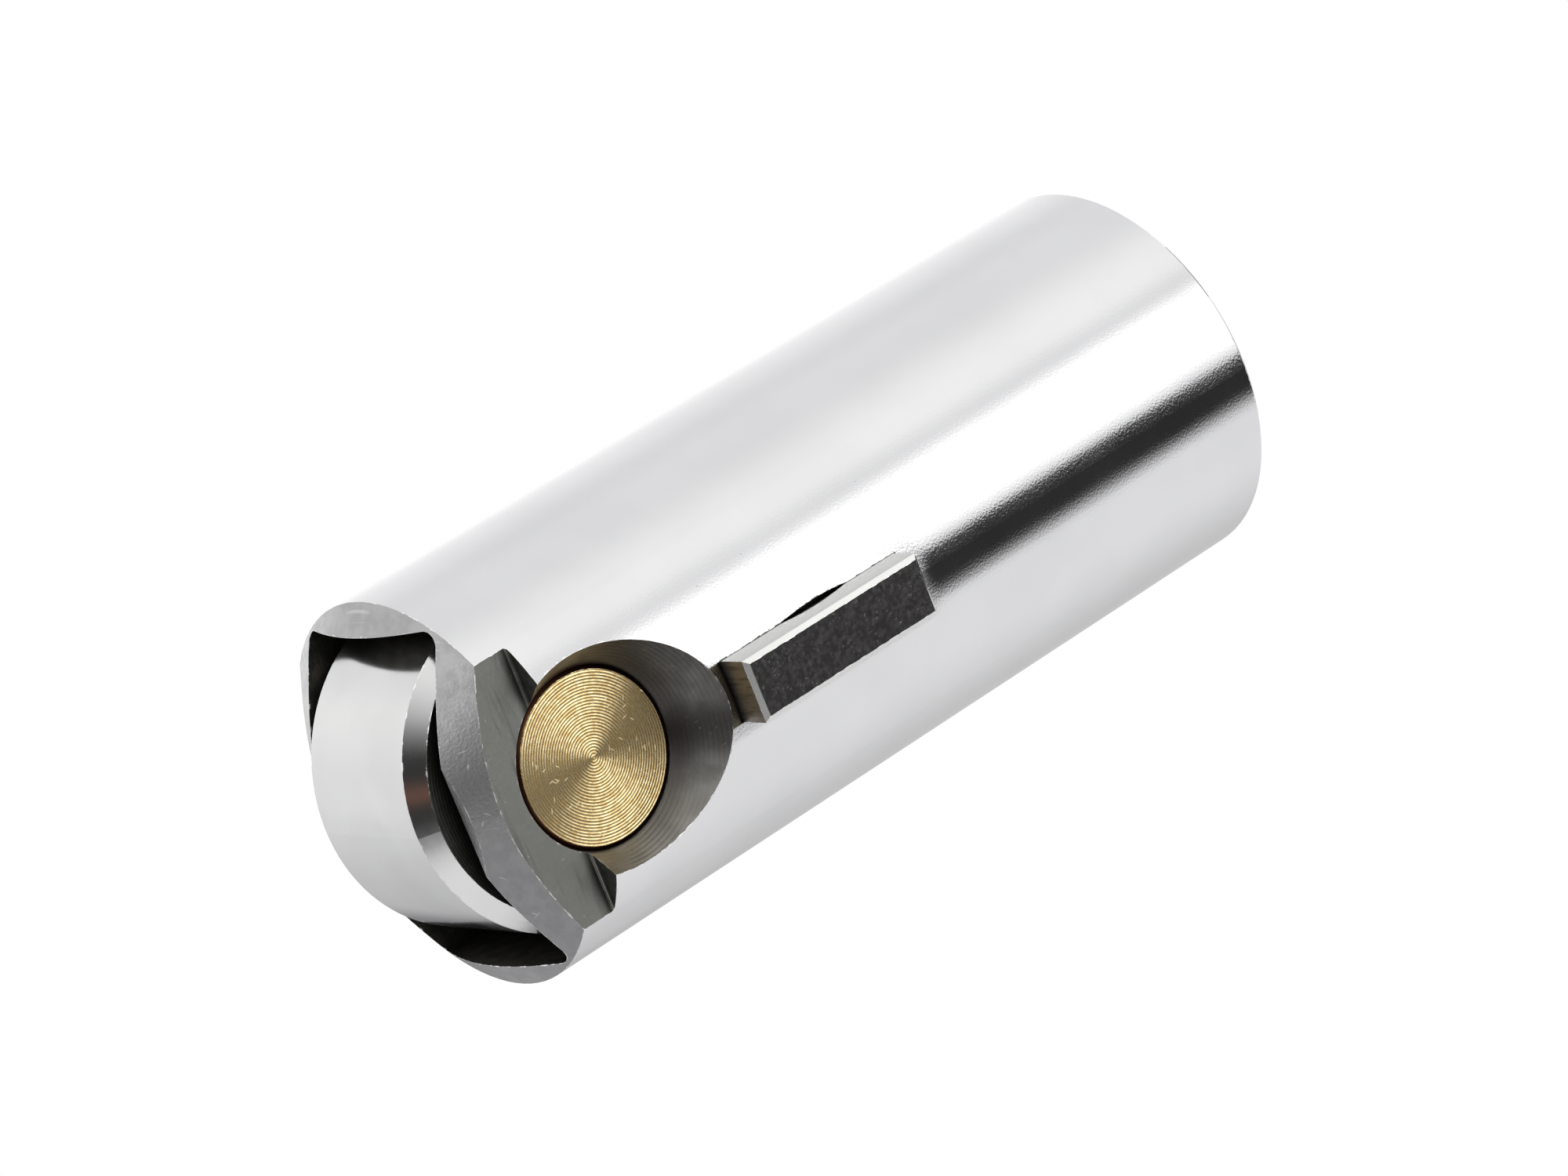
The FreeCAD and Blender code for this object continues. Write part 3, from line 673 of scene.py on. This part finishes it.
# %% Key and cup
key_steel, tree, shader, edge = make_metal(
    "key_steel", (0.68, 0.68, 0.66), (0.64, 0.64, 0.62), rough=0.12, edge_wear_and_highlight_tone=(1.0, 1.0, 1.0),
    edge_width=0.05, pit_share=0.5, pit_spacing=0.6)
place = places_on_piece(tree)
side = fade_mm(tree, work_out(tree, "ABSOLUTE", place["Y"]), 2.70, 2.74)
paint_over(tree, shader.inputs["Base Color"], side, (0.57, 0.57, 0.55))
joint = fade_mm(tree, distance(tree, place["X"], place["Y"]), 17.8, 17.6)
paint_over(tree, shader.inputs["Base Color"], joint, (0.04, 0.04, 0.04))
add_grain(tree, shader, edge, squeeze=(1.0, 3.0, 0.8), mark_width=0.25, depth=0.0015)

key_face, tree, shader, edge = make_metal(
    "key_face", (0.68, 0.655, 0.645), (0.44, 0.42, 0.42), rough=0.155, rough_change=0.05,
    edge_wear_and_highlight_tone=(1.0, 1.0, 1.0), edge_width=0.05, pit_share=0.5, pit_spacing=0.6, pit_size=0.08,
    cloud_size=0.40, scratch_share=0.3, scratch_spacing=0.40, scratch_size=0.11,
    scratch_tone=(0.62, 0.61, 0.58), scratch_rough=0.27)
add_grain(tree, shader, edge, squeeze=(1.0, 2.0, 1.0), mark_width=0.3, depth=0.003)

sawn_end, tree, shader, edge = make_metal(
    "sawn_key_end", (0.37, 0.345, 0.315), (0.29, 0.265, 0.235), rough=0.42, edge_wear_and_highlight_tone=(0.8, 0.8, 0.78),
    edge_width=0.05, cloud_size=1.5)
lines = place_group(tree, grain, squeeze=(0.2, 1.6, 1.0), mark_width=0.45)
cut = fade(tree, lines["Height"], 0.5, 0.62)
paint_over(tree, shader.inputs["Base Color"], cut, (0.235, 0.21, 0.185))
add_bump(tree, shader, edge, lines["Height"], depth=0.016)

cup_steel, tree, shader, edge = make_metal(
    "hardened_cup", (0.26, 0.25, 0.24), (0.20, 0.19, 0.18), rough=0.28)
add_grain(tree, shader, edge, squeeze=(1.0, 1.0, 1.0), mark_width=0.4, depth=0.003)
print("made", key_steel.name, key_face.name, sawn_end.name, cup_steel.name)

# %% [markdown]
# ## Which face has which finish
# The body is one solid with many finishes. Each small face of its mesh belongs to one surface that
# a tool cut, and its place and its direction tell which: for example, a face that looks straight
# along X near the end is on a flat. A body cut into several meshes could have one finish for each,
# but it would show seams. Here we only choose the material of each face, and no point moves.

# %% A helper to dress a piece
def dress(node, finishes, choose):
    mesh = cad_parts[node].data
    mesh.materials.clear()
    for finish in finishes:
        mesh.materials.append(finish)
    for face in mesh.polygons:
        face.material_index = choose(face)
    counts = [sum(face.material_index == n for face in mesh.polygons) for n in range(len(finishes))]
    print(node, "faces per finish:", counts)


# %% [markdown]
# On the body we ask about one cut after the other. The limits are in millimetres and lie close to
# the surfaces that they mark but not on them, because the middle of a small flat face lies a little
# off the curve that it stands for. A slope is the part of a face's direction that goes along X or Z,
# so it runs from zero to one. A face that no question fits is on the open end, which was ground like
# the outside.

# %% Sort the body's faces
GROUND, NOSE, FLAT, FOOT, RECESS, POCKET = range(6)
OUTSIDE_RADIUS = 17.4
NOSE_LEVEL, NOSE_INNER_RADIUS = 80.5, 9
RECESS_BOTTOM, PIN_HOLE_RADIUS = 12.6, 7.45
RECESS_SLOPE_LOW, RECESS_SLOPE_HIGH = 0.5, 0.65
FLAT_DISTANCE, FLAT_LEVEL = 12.85, 77
MOUTH_LEVEL = 1.1
NEARLY_UPRIGHT, LOOKING_UP, STRAIGHT = 0.2, 0.5, 0.95


def body_finish(face):
    x, y, z = face.center / MM
    across, up = abs(face.normal.x), face.normal.z
    radius, from_pin = math.hypot(x, y), math.hypot(y, z - PIN_HEIGHT)
    if radius > OUTSIDE_RADIUS and abs(up) < NEARLY_UPRIGHT:
        return GROUND
    if z > NOSE_LEVEL and up > LOOKING_UP and radius > NOSE_INNER_RADIUS:
        return NOSE
    conical = RECESS_SLOPE_LOW < across < RECESS_SLOPE_HIGH
    if abs(x) > RECESS_BOTTOM and from_pin > PIN_HOLE_RADIUS and conical:
        return RECESS
    if abs(x) > FLAT_DISTANCE and z > FLAT_LEVEL:
        return FLAT if across > STRAIGHT else FOOT
    if radius < OUTSIDE_RADIUS and z > MOUTH_LEVEL:
        return POCKET
    return GROUND


dress("tappet_body", (ground_steel, nose_skin, flat_skin, foot_skin, recess_skin, pocket_skin),
      body_finish)

# %% [markdown]
# The roller is simpler, because it is round: how far a face lies from the pin's axis tells whether
# it is on the tread, on the bevel or on a side. The bore that runs on the pin is as bright as the
# tread.

# %% Sort the roller's faces
TREAD, BEVEL, SIDE = range(3)
TREAD_RADIUS, BEVEL_INNER_RADIUS, BORE_RADIUS = 14.3, 12.8, 7.6


def roller_finish(face):
    from_pin = math.hypot(face.center.y / MM, face.center.z / MM - PIN_HEIGHT)
    if from_pin > TREAD_RADIUS or from_pin < BORE_RADIUS:
        return TREAD
    return SIDE if abs(face.normal.x) > STRAIGHT or from_pin < BEVEL_INNER_RADIUS else BEVEL


dress("roller", (roller_tread, roller_bevel, roller_side), roller_finish)

# %% [markdown]
# For the last three pieces the direction of a face is enough. On the pin, a slanted face is on the
# chamfer. On the key, a face that looks along Z is a sawn end, and one that looks straight outward
# is the outer face. The cup has one finish all over.

# %% Dress the pin, the key and the cup
PLAIN, PIN_CHAMFER = range(2)
KEY_OUTER_FACE, KEY_END = 1, 2
SLANTED, ALONG_Z = 0.3, 0.9


def pin_finish(face):
    return PIN_CHAMFER if SLANTED < abs(face.normal.x) < STRAIGHT else PLAIN


def key_finish(face):
    if abs(face.normal.z) > ALONG_Z:
        return KEY_END
    return KEY_OUTER_FACE if face.normal.x > STRAIGHT else PLAIN


def cup_finish(face):
    return PLAIN


dress("roller_pin", (bronze, pin_chamfer), pin_finish)
dress("guide_key", (key_steel, key_face, sawn_end), key_finish)
dress("pushrod_seat", (cup_steel,), cup_finish)
